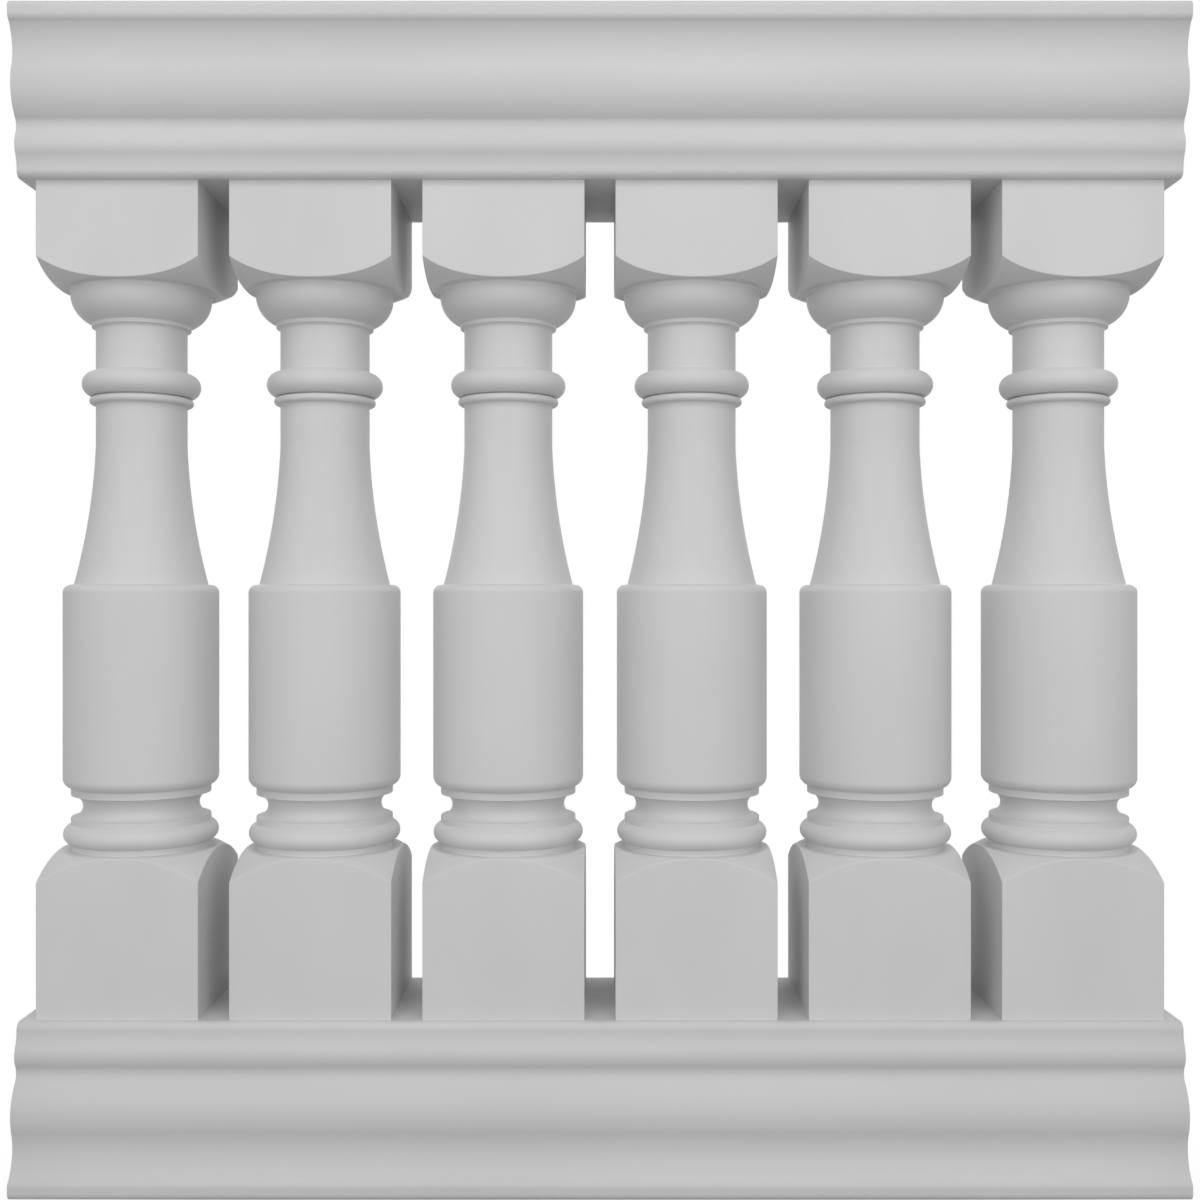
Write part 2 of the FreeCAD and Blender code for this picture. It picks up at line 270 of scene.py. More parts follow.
@dataclass(frozen=True)
class PrimedFoam:
    """Moulded high-density polyurethane foam under a sprayed coat of satin primer.

    To the eye: a soft, even grey with a low satin sheen, a faint orange peel from the spray gun, slow waves
    where the foam's skin shrank in the mould, and patches where the coat is a little thicker.

    Attributes:
        name: The material's name.
        coat: The primer's colour.
        thin_coat: Its colour where the coat is thinner.
        stretch: How far the patches are drawn out along the piece, in X, Y and Z.
        patch_mm: Size of the thick and thin patches.
        patch_range: The noise's values where the coat is thinnest and thickest.
        peel_mm: Size of the orange peel's cells, about 1 mm on the real coat, drawn coarser so that it shows.
        peel_depth_mm: Its depth.
        peel_strength: How strongly it shows.
        wave_mm: Size of the slow waves in the moulded skin.
        wave_depth_mm: Their depth.
        wave_strength: How strongly they show.
        smooth_roughness: Roughness where the coat is thick.
        dry_roughness: Roughness where the spray fell dry.
    """

    name: str
    coat: str
    thin_coat: str
    stretch: tuple[float, float, float]
    patch_mm: float = 70.0
    patch_range: tuple[float, float] = (0.3, 0.7)
    peel_mm: float = 2.2
    peel_depth_mm: float = 0.12
    peel_strength: float = 0.16
    wave_mm: float = 24.0
    wave_depth_mm: float = 0.35
    wave_strength: float = 0.12
    smooth_roughness: float = 0.5
    dry_roughness: float = 0.62

    PAINT_IOR: ClassVar[float] = 1.47
    PATCH_DETAIL: ClassVar[float] = 3.0
    PEEL_DETAIL: ClassVar[float] = 2.0
    WAVE_DETAIL: ClassVar[float] = 1.0

    def material(self) -> bpy.types.Material:
        """Builds the material.

        Returns:
            The finished material.
        """
        material = bpy.data.materials.new(self.name)
        material.use_nodes = True
        tree = material.node_tree
        tree.nodes.clear()
        place = add_node(tree, "ShaderNodeTexCoord").outputs["Object"]
        drawn = add_node(tree, "ShaderNodeMapping", {"Vector": place, "Scale": self.stretch}).outputs[0]
        # Thick and thin patches of the coat, which set its colour and its roughness
        patches = self._noise(tree, drawn, self.patch_mm, self.PATCH_DETAIL)
        thinnest, thickest = self.patch_range
        ends = {"Value": patches, "From Min": thinnest, "From Max": thickest}
        spread = add_node(tree, "ShaderNodeMapRange", ends, clamp=True).outputs[0]
        coats = {0: spread, 6: linear(self.thin_coat), 7: linear(self.coat)}
        colour = add_node(tree, "ShaderNodeMix", coats, data_type="RGBA").outputs[2]
        sheen = {"Value": spread, "To Min": self.dry_roughness, "To Max": self.smooth_roughness}
        roughness = add_node(tree, "ShaderNodeMapRange", sheen).outputs[0]
        # Slow waves of the moulded skin, with the orange peel of the spray over them
        waves = self._noise(tree, place, self.wave_mm, self.WAVE_DETAIL)
        peel = self._noise(tree, place, self.peel_mm, self.PEEL_DETAIL)
        skin = {"Strength": self.wave_strength, "Distance": self.wave_depth_mm * MM, "Height": waves}
        wavy = add_node(tree, "ShaderNodeBump", skin).outputs[0]
        spray = {"Strength": self.peel_strength, "Distance": self.peel_depth_mm * MM, "Height": peel}
        normal = add_node(tree, "ShaderNodeBump", {**spray, "Normal": wavy}).outputs[0]
        shader = add_node(
            tree,
            "ShaderNodeBsdfPrincipled",
            {"Base Color": colour, "Roughness": roughness, "Normal": normal, "IOR": self.PAINT_IOR},
        )
        add_node(tree, "ShaderNodeOutputMaterial", {"Surface": shader.outputs[0]})
        return material

    @staticmethod
    def _noise(
        tree: bpy.types.NodeTree, place: bpy.types.NodeSocket, size_mm: float, detail: float
    ) -> bpy.types.NodeSocket:
        """Adds a noise of a real size.

        Args:
            tree: The tree that takes the node.
            place: Where on the piece it is read.
            size_mm: The size of its cells.
            detail: How many finer layers it has.

        Returns:
            The noise's value.
        """
        feeds = {"Vector": place, "Scale": 1 / (size_mm * MM), "Detail": detail}
        return add_node(tree, "ShaderNodeTexNoise", feeds).outputs[0]


@dataclass(frozen=True)
class StudioFloor:
    """Pale matt floor paint, white to the eye away from the object, with the object's shadow near it.

    Attributes:
        name: The material's name.
        paint: The floor's colour in the light that it throws back on the object.
        seen_paint: The floor's colour to the camera.
        shadow_reach: Half lengths along X and Y of the oval inside which the shadow shows, in metres.
        shadow_core: Share of that oval that keeps the full shadow.
        whitening: Share of plain white over the paint inside the oval.
    """

    name: str = "matt_studio_floor_paint"
    paint: str = "aaaaaa"
    seen_paint: str = "ffffff"
    shadow_reach: tuple[float, float] = (0.52, 0.6)
    shadow_core: float = 0.5
    whitening: float = 0.45

    def material(self) -> bpy.types.Material:
        """Builds the material.

        Returns:
            The finished material.
        """
        material = bpy.data.materials.new(self.name)
        material.use_nodes = True
        tree = material.node_tree
        tree.nodes.clear()
        place = add_node(tree, "ShaderNodeTexCoord").outputs["Object"]
        reach = (1 / self.shadow_reach[0], 1 / self.shadow_reach[1], 0.0)
        oval = add_node(tree, "ShaderNodeVectorMath", {0: place, 1: reach}, operation="MULTIPLY").outputs[0]
        away = add_node(tree, "ShaderNodeVectorMath", {0: oval}, operation="LENGTH").outputs["Value"]
        fade = add_node(
            tree,
            "ShaderNodeMapRange",
            {"Value": away, "From Min": self.shadow_core, "From Max": 1.0, "To Min": self.whitening},
            interpolation_type="SMOOTHSTEP",
        ).outputs[0]
        seen = seen_rays(tree)
        white = add_node(tree, "ShaderNodeMath", {0: seen, 1: fade}, operation="MULTIPLY").outputs[0]
        paints = {0: seen, 6: linear(self.paint), 7: linear(self.seen_paint)}
        tint = add_node(tree, "ShaderNodeMix", paints, data_type="RGBA").outputs[2]
        paint = add_node(tree, "ShaderNodeBsdfDiffuse", {"Color": tint}).outputs[0]
        glow = add_node(tree, "ShaderNodeEmission", {"Strength": 1.0}).outputs[0]
        mixed = add_node(tree, "ShaderNodeMixShader", {0: white, 1: paint, 2: glow}).outputs[0]
        add_node(tree, "ShaderNodeOutputMaterial", {"Surface": mixed})
        return material


def seen_rays(tree: bpy.types.NodeTree) -> bpy.types.NodeSocket:
    """Marks the rays that show the backdrop.

    Args:
        tree: The tree that takes the nodes.

    Returns:
        An output that is one for camera, glossy and transmission rays.
    """
    path = add_node(tree, "ShaderNodeLightPath").outputs
    straight = add_node(
        tree, "ShaderNodeMath", {0: path["Is Camera Ray"], 1: path["Is Glossy Ray"]}, operation="MAXIMUM"
    ).outputs[0]
    return add_node(
        tree, "ShaderNodeMath", {0: straight, 1: path["Is Transmission Ray"]}, operation="MAXIMUM"
    ).outputs[0]


@dataclass
class NodeShaper:
    """A Geometry Nodes tree that lays a drawn outline along a path by a rule of sums.

    Attributes:
        name: The tree's name.
        inputs: The tree's named sizes.
        tree: The tree itself.
        known: The outputs that the rules may name.
    """

    name: str
    inputs: tuple[str, ...]
    tree: bpy.types.NodeTree = field(init=False)
    known: dict[str, bpy.types.NodeSocket] = field(init=False, default_factory=dict)

    WELD: ClassVar[float] = 0.002 * MM
    SHARP: ClassVar[float] = math.radians(38)
    POLE_FACES: ClassVar[int] = 9
    KEPT_ATTRIBUTES: ClassVar[tuple[str, ...]] = ("position", "sharp_edge", "sharp_face", "material_index")

    def __post_init__(self) -> None:
        """Makes the empty tree with its named inputs."""
        self.tree = bpy.data.node_groups.new(self.name, "GeometryNodeTree")
        faces = self.tree.interface
        faces.new_socket("Outline", in_out="INPUT", socket_type="NodeSocketGeometry")
        for name in self.inputs:
            faces.new_socket(name, in_out="INPUT", socket_type="NodeSocketFloat")
        faces.new_socket("Piece", in_out="OUTPUT", socket_type="NodeSocketGeometry")
        entry = add_node(self.tree, "NodeGroupInput")
        self.known = {name: entry.outputs[name] for name in ("Outline", *self.inputs)}

    def work_out(self, rule: tuple[tuple[Any, ...], ...]) -> None:
        """Adds the sums of a rule.

        Args:
            rule: Rows of a result's name, an operation and its terms, which are names or numbers.
        """
        for result, operation, *terms in rule:
            feeds = {place: self.known.get(term, term) for place, term in enumerate(terms)}
            node = add_node(self.tree, "ShaderNodeMath", feeds, operation=operation)
            self.known[result] = node.outputs[0]

    def read(self, names: tuple[str, ...]) -> None:
        """Makes the points' own values known to the rules.

        Args:
            names: The values' names.
        """
        for name in names:
            node = add_node(self.tree, "GeometryNodeInputNamedAttribute", {"Name": name}, data_type="FLOAT")
            self.known[name] = node.outputs[0]

    def store(self, points: bpy.types.NodeSocket, names: tuple[str, ...]) -> bpy.types.NodeSocket:
        """Stores worked-out values on points.

        Args:
            points: The geometry that keeps them.
            names: The results to store.

        Returns:
            The geometry with the values.
        """
        for name in names:
            feeds = {"Geometry": points, "Name": name, "Value": self.known[name]}
            node = add_node(self.tree, "GeometryNodeStoreNamedAttribute", feeds, data_type="FLOAT")
            points = node.outputs[0]
        return points

    def lay(self, path: bpy.types.NodeSocket) -> bpy.types.NodeSocket:
        """Lays the outline along a path.

        Args:
            path: The path's curve.

        Returns:
            The surface.
        """
        outline = add_node(self.tree, "GeometryNodeMeshToCurve", {0: self.known["Outline"]}).outputs[0]
        feeds = {"Curve": path, "Profile Curve": outline}
        return add_node(self.tree, "GeometryNodeCurveToMesh", feeds).outputs[0]

    def finish(self, surface: bpy.types.NodeSocket, finish: bpy.types.Material) -> None:
        """Moves the surface to the worked-out x, y and z, closes its poles and gives it its finish.

        Args:
            surface: The surface to move.
            finish: Its material.
        """
        axes = {axis: self.known[axis.lower()] for axis in "XYZ"}
        place = add_node(self.tree, "ShaderNodeCombineXYZ", axes).outputs[0]
        spots = {"Geometry": surface, "Position": place}
        moved = add_node(self.tree, "GeometryNodeSetPosition", spots).outputs[0]
        weld = {"Geometry": moved, "Distance": self.WELD}
        closed = add_node(self.tree, "GeometryNodeMergeByDistance", weld).outputs[0]
        plain = add_node(self.tree, "GeometryNodeRealizeInstances", {"Geometry": closed}).outputs[0]
        dress = {"Geometry": plain, "Material": finish}
        dressed = add_node(self.tree, "GeometryNodeSetMaterial", dress).outputs[0]
        add_node(self.tree, "NodeGroupOutput", {0: dressed})

    def shape(
        self, piece: str, points: dict[str, np.ndarray], closed: bool, sizes: dict[str, float]
    ) -> bpy.types.Object:
        """Runs the tree on an outline and keeps the result as a plain mesh.

        Args:
            piece: The finished piece's name.
            points: The outline's values, point by point.
            closed: Whether the outline comes back to its start.
            sizes: The tree's inputs by name.

        Returns:
            The finished piece, at the origin.
        """
        count = len(next(iter(points.values())))
        mesh = bpy.data.meshes.new(f"{piece}_outline")
        edges = [(place, place + 1) for place in range(count - 1)] + ([(count - 1, 0)] if closed else [])
        spots = [(float(place), 0.0, 0.0) for place in range(count)]
        mesh.from_pydata(spots, edges, [])
        for name, values in points.items():
            mesh.attributes.new(name, "FLOAT", "POINT").data.foreach_set("value", values.astype(np.float32))
        thing = bpy.data.objects.new(piece, mesh)
        bpy.context.scene.collection.objects.link(thing)
        modifier = thing.modifiers.new(self.name, "NODES")
        modifier.node_group = self.tree
        for item in self.tree.interface.items_tree:
            if item.in_out == "INPUT" and item.name in sizes:
                modifier[item.identifier] = float(sizes[item.name])
        bpy.context.view_layer.update()
        graph = bpy.context.evaluated_depsgraph_get()
        made = bpy.data.meshes.new_from_object(thing.evaluated_get(graph), depsgraph=graph)
        thing.modifiers.clear()
        thing.data = made
        made.name = piece
        bpy.data.meshes.remove(mesh)
        self._settle(made)
        return thing

    @classmethod
    def _settle(cls, mesh: bpy.types.Mesh) -> None:
        """Turns the faces outwards, shades them, keeps the closed ends flat and drops the working values.

        Args:
            mesh: The mesh to settle.
        """
        shell = bmesh.new()
        shell.from_mesh(mesh)
        bmesh.ops.remove_doubles(shell, verts=shell.verts, dist=cls.WELD)
        bmesh.ops.recalc_face_normals(shell, faces=shell.faces)
        shell.edges.index_update()
        poles = [corner for corner in shell.verts if len(corner.link_faces) >= cls.POLE_FACES]
        fans = [face for pole in poles for face in pole.link_faces]
        rims = {edge.index for face in fans for edge in face.edges if not set(edge.verts) & set(poles)}
        shell.to_mesh(mesh)
        shell.free()
        for name in [a.name for a in mesh.attributes if not a.name.startswith(".")]:
            if name not in cls.KEPT_ATTRIBUTES:
                mesh.attributes.remove(mesh.attributes[name])
        mesh.shade_smooth()
        mesh.set_sharp_from_angle(angle=cls.SHARP)
        for place in rims:
            mesh.edges[place].use_edge_sharp = True


class RailSide(Enum):
    """Which side of the balusters a rail lies on, as the way its moulding grows."""

    TOP = 1.0
    BOTTOM = -1.0


@dataclass
class MouldedRail:
    """A rail with the same moulding front and back, run along X.

    Sizes are in millimetres, from its seat outwards.

    Attributes:
        node: The CAD node that it stands for.
        side: Whether it lies over or under the balusters.
        finish: Its material.
    """

    node: str
    side: RailSide
    finish: bpy.types.Material
    seat: float = 65.4
    lip_round: float = 6.2
    lower_cove_height: float = 12.6
    lower_cove_reach: float = 3.1
    bead_height: float = 14.75
    bead_return: float = 0.7
    bead_crown: float = 1.9
    quirk_height: float = 11.4
    bulge_height: float = 38.45
    bulge_reach: float = 8.0
    bulge_crown: float = 5.5
    upper_cove_height: float = 33.3
    upper_cove_reach: float = 5.1
    edge_round_height: float = 5.7
    edge_round_reach: float = 3.1
    fascia_height: float = 4.5
    outer_round: float = 5.45
    arris: float = 0.45
    end_arris: float = 0.4

    TREE: ClassVar[str] = "moulding_run"
    INPUTS: ClassVar[tuple[str, ...]] = ("Length", "Arris", "Seat Height", "Growth", "Middle", "Stations")
    # Stations from a closed end to the start of the plain run
    END_STATIONS: ClassVar[float] = 3.0
    # Where each station stands along the rail: the closed end, a quarter round of its arris, and the run
    STATION_RULE: ClassVar[tuple[tuple[Any, ...], ...]] = (
        ("last", "SUBTRACT", "Stations", 1.0),
        ("from_far_end", "SUBTRACT", "last", "index"),
        ("from_end", "MINIMUM", "index", "from_far_end"),
        ("collapse", "LESS_THAN", "from_end", 0.5),
        ("arris_step", "SUBTRACT", "from_end", 1.0),
        ("arris_share", "MULTIPLY", "arris_step", QUARTER / 2),
        ("arris_floor", "MAXIMUM", "arris_share", 0.0),
        ("arris_turn", "MINIMUM", "arris_floor", QUARTER),
        ("sunk", "SINE", "arris_turn"),
        ("unsunk", "SUBTRACT", 1.0, "sunk"),
        ("inset", "MULTIPLY", "unsunk", "Arris"),
        ("reached", "COSINE", "arris_turn"),
        ("end_step", "MULTIPLY", "reached", "Arris"),
        ("run_steps", "SUBTRACT", "Stations", 2 * END_STATIONS + 1),
        ("run_step", "SUBTRACT", "index", END_STATIONS),
        ("run_share", "DIVIDE", "run_step", "run_steps"),
        ("run_floor", "MAXIMUM", "run_share", 0.0),
        ("run_part", "MINIMUM", "run_floor", 1.0),
        ("run_place", "MULTIPLY_ADD", "run_part", 2.0, -1.0),
        ("half_length", "DIVIDE", "Length", 2.0),
        ("half_run", "SUBTRACT", "half_length", "Arris"),
        ("run_at", "MULTIPLY", "run_place", "half_run"),
        ("past_end", "MULTIPLY", "run_place", "end_step"),
        ("station", "ADD", "run_at", "past_end"),
    )
    # Where each point of the section stands at a station
    SECTION_RULE: ClassVar[tuple[tuple[Any, ...], ...]] = (
        ("x", "ADD", "station", 0.0),
        ("draw_in", "MULTIPLY", "inset", "lean_out"),
        ("drawn_out", "SUBTRACT", "reach", "draw_in"),
        ("open_share", "SUBTRACT", 1.0, "collapse"),
        ("y", "MULTIPLY", "drawn_out", "open_share"),
        ("draw_down", "MULTIPLY", "inset", "lean_up"),
        ("drawn_up", "SUBTRACT", "height", "draw_down"),
        ("to_middle", "SUBTRACT", "Middle", "drawn_up"),
        ("section_height", "MULTIPLY_ADD", "collapse", "to_middle", "drawn_up"),
        ("z", "MULTIPLY_ADD", "section_height", "Growth", "Seat Height"),
    )
    STATIONS: ClassVar[int] = 19

    def half_section(self) -> np.ndarray:
        """Draws the section's front half.

        Returns:
            Its points, from the middle of the seat round to the middle of the outer face.
        """
        lip = self.seat + self.lip_round
        bead_foot = lip + self.lower_cove_reach
        bead_top = bead_foot - self.bead_return
        bulge_top = bead_top + self.bulge_reach
        cove_top = bulge_top + self.upper_cove_reach
        fascia = cove_top + self.edge_round_reach
        pen = Outline(0.0, 0.0)
        pen.line_to(self.seat)
        pen.arc_to(lip, self.lip_round, self.lip_round)
        lower_cove = bow_radius(self.lower_cove_height, self.lower_cove_reach)
        pen.arc_to(bead_foot, self.lower_cove_height, lower_cove, hollow=True)
        pen.bow_to(bead_top, self.bead_height, self.bead_crown)
        pen.smooth_hollow_to(bead_top, self.quirk_height)
        pen.bow_to(bulge_top, self.bulge_height, self.bulge_crown)
        pen.smooth_hollow_to(cove_top, self.upper_cove_height)
        edge_round = bow_radius(self.edge_round_height, self.edge_round_reach)
        pen.arc_to(fascia, self.edge_round_height, edge_round)
        pen.line_to(fascia, self.fascia_height)
        pen.arc_to(fascia - self.outer_round, self.outer_round, self.outer_round)
        pen.line_to(0.0)
        return pen.eased(self.arris)

    def section(self) -> dict[str, np.ndarray]:
        """Mirrors the half section and finds which way is out at each point.

        Returns:
            Each point's reach and height in metres, and its outward lean.
        """
        half = self.half_section()
        back = half[-2:0:-1] * np.array([-1.0, 1.0])
        ring = np.vstack([half, back])
        steps = np.roll(ring, -1, axis=0) - ring
        outs = np.column_stack([steps[:, 1], -steps[:, 0]])
        outs /= np.linalg.norm(outs, axis=1, keepdims=True)
        leans = outs + np.roll(outs, 1, axis=0)
        leans /= np.linalg.norm(leans, axis=1, keepdims=True)
        return {
            "reach": ring[:, 0] * MM,
            "height": ring[:, 1] * MM,
            "lean_out": leans[:, 0],
            "lean_up": leans[:, 1],
        }

    def shaper(self) -> NodeShaper:
        """Builds the tree that runs the section along the rail.

        Returns:
            The tree.
        """
        shaper = NodeShaper(f"{self.TREE}_{self.node}", self.INPUTS)
        shaper.known["index"] = add_node(shaper.tree, "GeometryNodeInputIndex").outputs[0]
        line = add_node(shaper.tree, "GeometryNodeCurvePrimitiveLine", {"End": (1.0, 0.0, 0.0)}).outputs[0]
        feeds = {"Curve": line, "Count": shaper.known["Stations"]}
        stations = add_node(shaper.tree, "GeometryNodeResampleCurve", feeds, mode="COUNT").outputs[0]
        shaper.work_out(self.STATION_RULE)
        path = shaper.store(stations, ("station", "inset", "collapse"))
        surface = shaper.lay(path)
        shaper.read(("station", "inset", "collapse", "reach", "height", "lean_out", "lean_up"))
        shaper.work_out(self.SECTION_RULE)
        shaper.finish(surface, self.finish)
        return shaper

    def build(self) -> bpy.types.Object:
        """Builds the rail in its node's place.

        Returns:
            The finished piece.
        """
        low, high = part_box(self.node)
        sizes = {
            "Length": high.x - low.x,
            "Arris": self.end_arris * MM,
            "Seat Height": low.z if self.side is RailSide.TOP else high.z,
            "Growth": self.side.value,
            "Middle": (high.z - low.z) / 2,
            "Stations": self.STATIONS,
        }
        piece = self.shaper().shape(f"moulded_{self.node}", self.section(), True, sizes)
        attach(piece, "root")
        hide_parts(self.node)
        return piece


@dataclass
class Rows:
    """The rows of points up a baluster, each with the rule that places it round the axis.

    Sizes are in millimetres.

    Attributes:
        values: The rows so far, each with a value for every name.
    """

    values: list[tuple[float, ...]] = field(default_factory=list)

    NAMES: ClassVar[tuple[str, ...]] = (
        "reach",
        "height",
        "square",
        "back",
        "arc_side",
        "arc_radius",
        "arc_reach",
    )
    # The values that aren't lengths
    PLAIN: ClassVar[tuple[str, ...]] = ("square", "arc_side")

    def add(
        self,
        reach: float,
        height: float,
        square: float = 0.0,
        back: float = 0.0,
        arc: tuple[float, float, float] = (0.0, 0.0, 0.0),
    ) -> None:
        """Adds a row.

        Args:
            reach: Its radius where it is turned.
            height: Its height, or the height of its arc's centre.
            square: Its share of the way out to the square blank.
            back: How far it stands back from the blank's faces.
            arc: Its shoulder arc's side, radius and centre's reach.
        """
        self.values.append((reach, height, square, back, *arc))

    def columns(self) -> dict[str, np.ndarray]:
        """Gives the rows as named columns.

        Returns:
            Each column by its name, in metres where it holds lengths.
        """
        table = np.array(self.values)
        scales = [1.0 if name in self.PLAIN else MM for name in self.NAMES]
        return {name: table[:, i] * scales[i] for i, name in enumerate(self.NAMES)}


@dataclass
class TurnedBaluster:
    """A baluster turned between its square foot and head. Sizes are in millimetres, from its foot up.

    Attributes:
        node: The CAD node that it stands for.
    """

    node: str
    block_width: float = 127.9
    base_block_height: float = 106.9
    shoulder_inset: float = 0.6
    base_shoulder_height: float = 20.3
    base_shoulder_crown: float = 1.25
    base_fillet_height: float = 4.5
    torus_height: float = 15.9
    torus_crown: float = 6.1
    torus_fillet_height: float = 5.5
    scotia_height: float = 18.4
    scotia_shelf: float = 0.6
    scotia_hollow: float = 8.8
    drum_fillet_height: float = 6.0
    drum_inset: float = 1.75
    drum_height: float = 166.3
    drum_foot_round: float = 8.3
    drum_top_round: float = 6.6
    fillet_step: float = 6.4
    flare_ledge: float = 2.05
    flare_height: float = 114.4
    flare_hollow: float = 3.1
    neck_radius: float = 36.5
    lower_neck_height: float = 33.8
    bead_shelf: float = 1.9
    bead_cove: float = 1.2
    bead_hollow: float = 0.3
    bead_height: float = 6.4
    quirk_height: float = 0.4
    astragal_shelf: float = 0.85
    astragal_height: float = 20.3
    upper_neck_height: float = 34.0
    annulet_height: float = 5.7
    annulet_reach: float = 3.2
    annulet_cove: float = 2.4
    annulet_hollow: float = 0.65
    ovolo_height: float = 23.4
    ovolo_step: float = 5.9
    ovolo_return: float = 0.5
    ovolo_return_height: float = 2.1
    ovolo_fillet: float = 1.8
    cap_shoulder_height: float = 18.05
    cap_shoulder_crown: float = 2.2
    cap_block_height: float = 58.25
    turning_clearance: float = 1.0
    arris: float = 0.45
    block_arris: float = 0.5

    TREE: ClassVar[str] = "lathe"
    INPUTS: ClassVar[tuple[str, ...]] = ("Half Width", "Arris", "Axis", "Foot", "Columns", "Side Columns")
    # How far round each column stands: columns crowd together towards the blank's corners
    TURN_RULE: ClassVar[tuple[tuple[Any, ...], ...]] = (
        ("side_place", "DIVIDE", "index", "Side Columns"),
        ("side", "FLOOR", "side_place"),
        ("along_side", "SUBTRACT", "side_place", "side"),
        ("left_over", "SUBTRACT", 1.0, "along_side"),
        ("near_corner", "MULTIPLY", "along_side", "along_side"),
        ("far_corner", "MULTIPLY", "left_over", "left_over"),
        ("both_corners", "ADD", "near_corner", "far_corner"),
        ("crowded", "DIVIDE", "near_corner", "both_corners"),
        ("sides_on", "ADD", "side", "crowded"),
        ("turn", "MULTIPLY_ADD", "sides_on", QUARTER, QUARTER / 2),
    )
    # Where each row and column meets: on the turned radius, or out on the square blank with its eased corners
    LATHE_RULE: ClassVar[tuple[tuple[Any, ...], ...]] = (
        ("cos", "COSINE", "turn"),
        ("sin", "SINE", "turn"),
        ("plain_cos", "ABSOLUTE", "cos"),
        ("plain_sin", "ABSOLUTE", "sin"),
        ("ahead", "MAXIMUM", "plain_cos", "plain_sin"),
        ("aside", "MINIMUM", "plain_cos", "plain_sin"),
        ("to_face", "DIVIDE", "Half Width", "ahead"),
        ("hub", "SUBTRACT", "Half Width", "Arris"),
        ("both_ways", "ADD", "ahead", "aside"),
        ("to_hub", "MULTIPLY", "hub", "both_ways"),
        ("to_hub_squared", "MULTIPLY", "to_hub", "to_hub"),
        ("hub_squared", "MULTIPLY", "hub", "hub"),
        ("hubs_squared", "MULTIPLY", "hub_squared", 2.0),
        ("arris_squared", "MULTIPLY", "Arris", "Arris"),
        ("past_hubs", "SUBTRACT", "to_hub_squared", "hubs_squared"),
        ("past_arris", "ADD", "past_hubs", "arris_squared"),
        ("past_floor", "MAXIMUM", "past_arris", 0.0),
        ("past_hub", "SQRT", "past_floor"),
        ("to_arris", "ADD", "to_hub", "past_hub"),
        ("face_place", "MULTIPLY", "to_face", "aside"),
        ("on_arris", "GREATER_THAN", "face_place", "hub"),
        ("arris_gain", "SUBTRACT", "to_arris", "to_face"),
        ("blank", "MULTIPLY_ADD", "on_arris", "arris_gain", "to_face"),
        ("limit", "SUBTRACT", "blank", "back"),
        ("to_limit", "SUBTRACT", "limit", "reach"),
        ("radius", "MULTIPLY_ADD", "square", "to_limit", "reach"),
        ("arc_out", "SUBTRACT", "radius", "arc_reach"),
        ("arc_out_squared", "MULTIPLY", "arc_out", "arc_out"),
        ("arc_squared", "MULTIPLY", "arc_radius", "arc_radius"),
        ("arc_left", "SUBTRACT", "arc_squared", "arc_out_squared"),
        ("arc_floor", "MAXIMUM", "arc_left", 0.0),
        ("arc_rise", "SQRT", "arc_floor"),
        ("own_height", "MULTIPLY_ADD", "arc_side", "arc_rise", "height"),
        ("x", "MULTIPLY_ADD", "radius", "cos", "Axis"),
        ("y", "MULTIPLY", "radius", "sin"),
        ("z", "ADD", "own_height", "Foot"),
    )
    SIDE_COLUMNS: ClassVar[int] = 32
    SHOULDER_ROWS: ClassVar[int] = 11
    EASING_ROWS: ClassVar[int] = 4
    SUPPORTS_MM: ClassVar[tuple[float, ...]] = (0.8, 4.0)

    def turning(self) -> np.ndarray:
        """Draws the turned members between the two shoulders.

        Returns:
            Their points, from the top of the base shoulder up.
        """
        shoulder = self.block_width / 2 - self.shoulder_inset
        drum = self.block_width / 2 - self.drum_inset
        fillet = drum - self.fillet_step
        scotia = fillet - self.scotia_shelf
        drum_top = drum - self.drum_top_round
        neck = self.neck_radius
        astragal = neck + self.astragal_shelf
        annulet = neck + self.annulet_reach
        ovolo = drum - self.ovolo_step
        drum_run = self.drum_height - self.drum_foot_round - self.drum_top_round
        pen = Outline(shoulder, self.base_block_height + self.base_shoulder_height)
        pen.line_to(fillet)
        pen.line_to(fillet, self.base_fillet_height)
        pen.bow_to(fillet, self.torus_height, self.torus_crown)
        pen.line_to(fillet, self.torus_fillet_height)
        pen.line_to(scotia)
        pen.bow_to(scotia, self.scotia_height, self.scotia_hollow, hollow=True)
        pen.line_to(fillet)
        pen.line_to(fillet, self.drum_fillet_height)
        pen.arc_to(drum, self.drum_foot_round, bow_radius(self.drum_foot_round, self.fillet_step))
        pen.line_to(drum, drum_run)
        pen.arc_to(drum_top, self.drum_top_round, self.drum_top_round)
        pen.line_to(drum_top - self.flare_ledge)
        pen.bow_to(neck, self.flare_height, self.flare_hollow, hollow=True)
        pen.line_to(neck, self.lower_neck_height - self.bead_cove)
        pen.bow_to(neck + self.bead_shelf, self.bead_cove, self.bead_hollow, hollow=True)
        pen.half_round(self.bead_height)
        pen.line_to(astragal)
        pen.line_to(astragal, self.quirk_height)
        pen.half_round(self.astragal_height)
        pen.line_to(neck)
        pen.line_to(neck, self.upper_neck_height)
        pen.bow_to(annulet, self.annulet_cove, self.annulet_hollow, hollow=True)
        pen.line_to(annulet, self.annulet_height - self.annulet_cove)
        pen.arc_to(ovolo, self.ovolo_height, bow_radius(self.ovolo_height, ovolo - annulet))
        ovolo_top = ovolo - self.ovolo_return
        return_round = bow_radius(self.ovolo_return_height, self.ovolo_return)
        pen.arc_to(ovolo_top, self.ovolo_return_height, return_round)
        pen.arc_to(ovolo_top + self.ovolo_fillet, self.ovolo_fillet, self.ovolo_fillet, hollow=True)
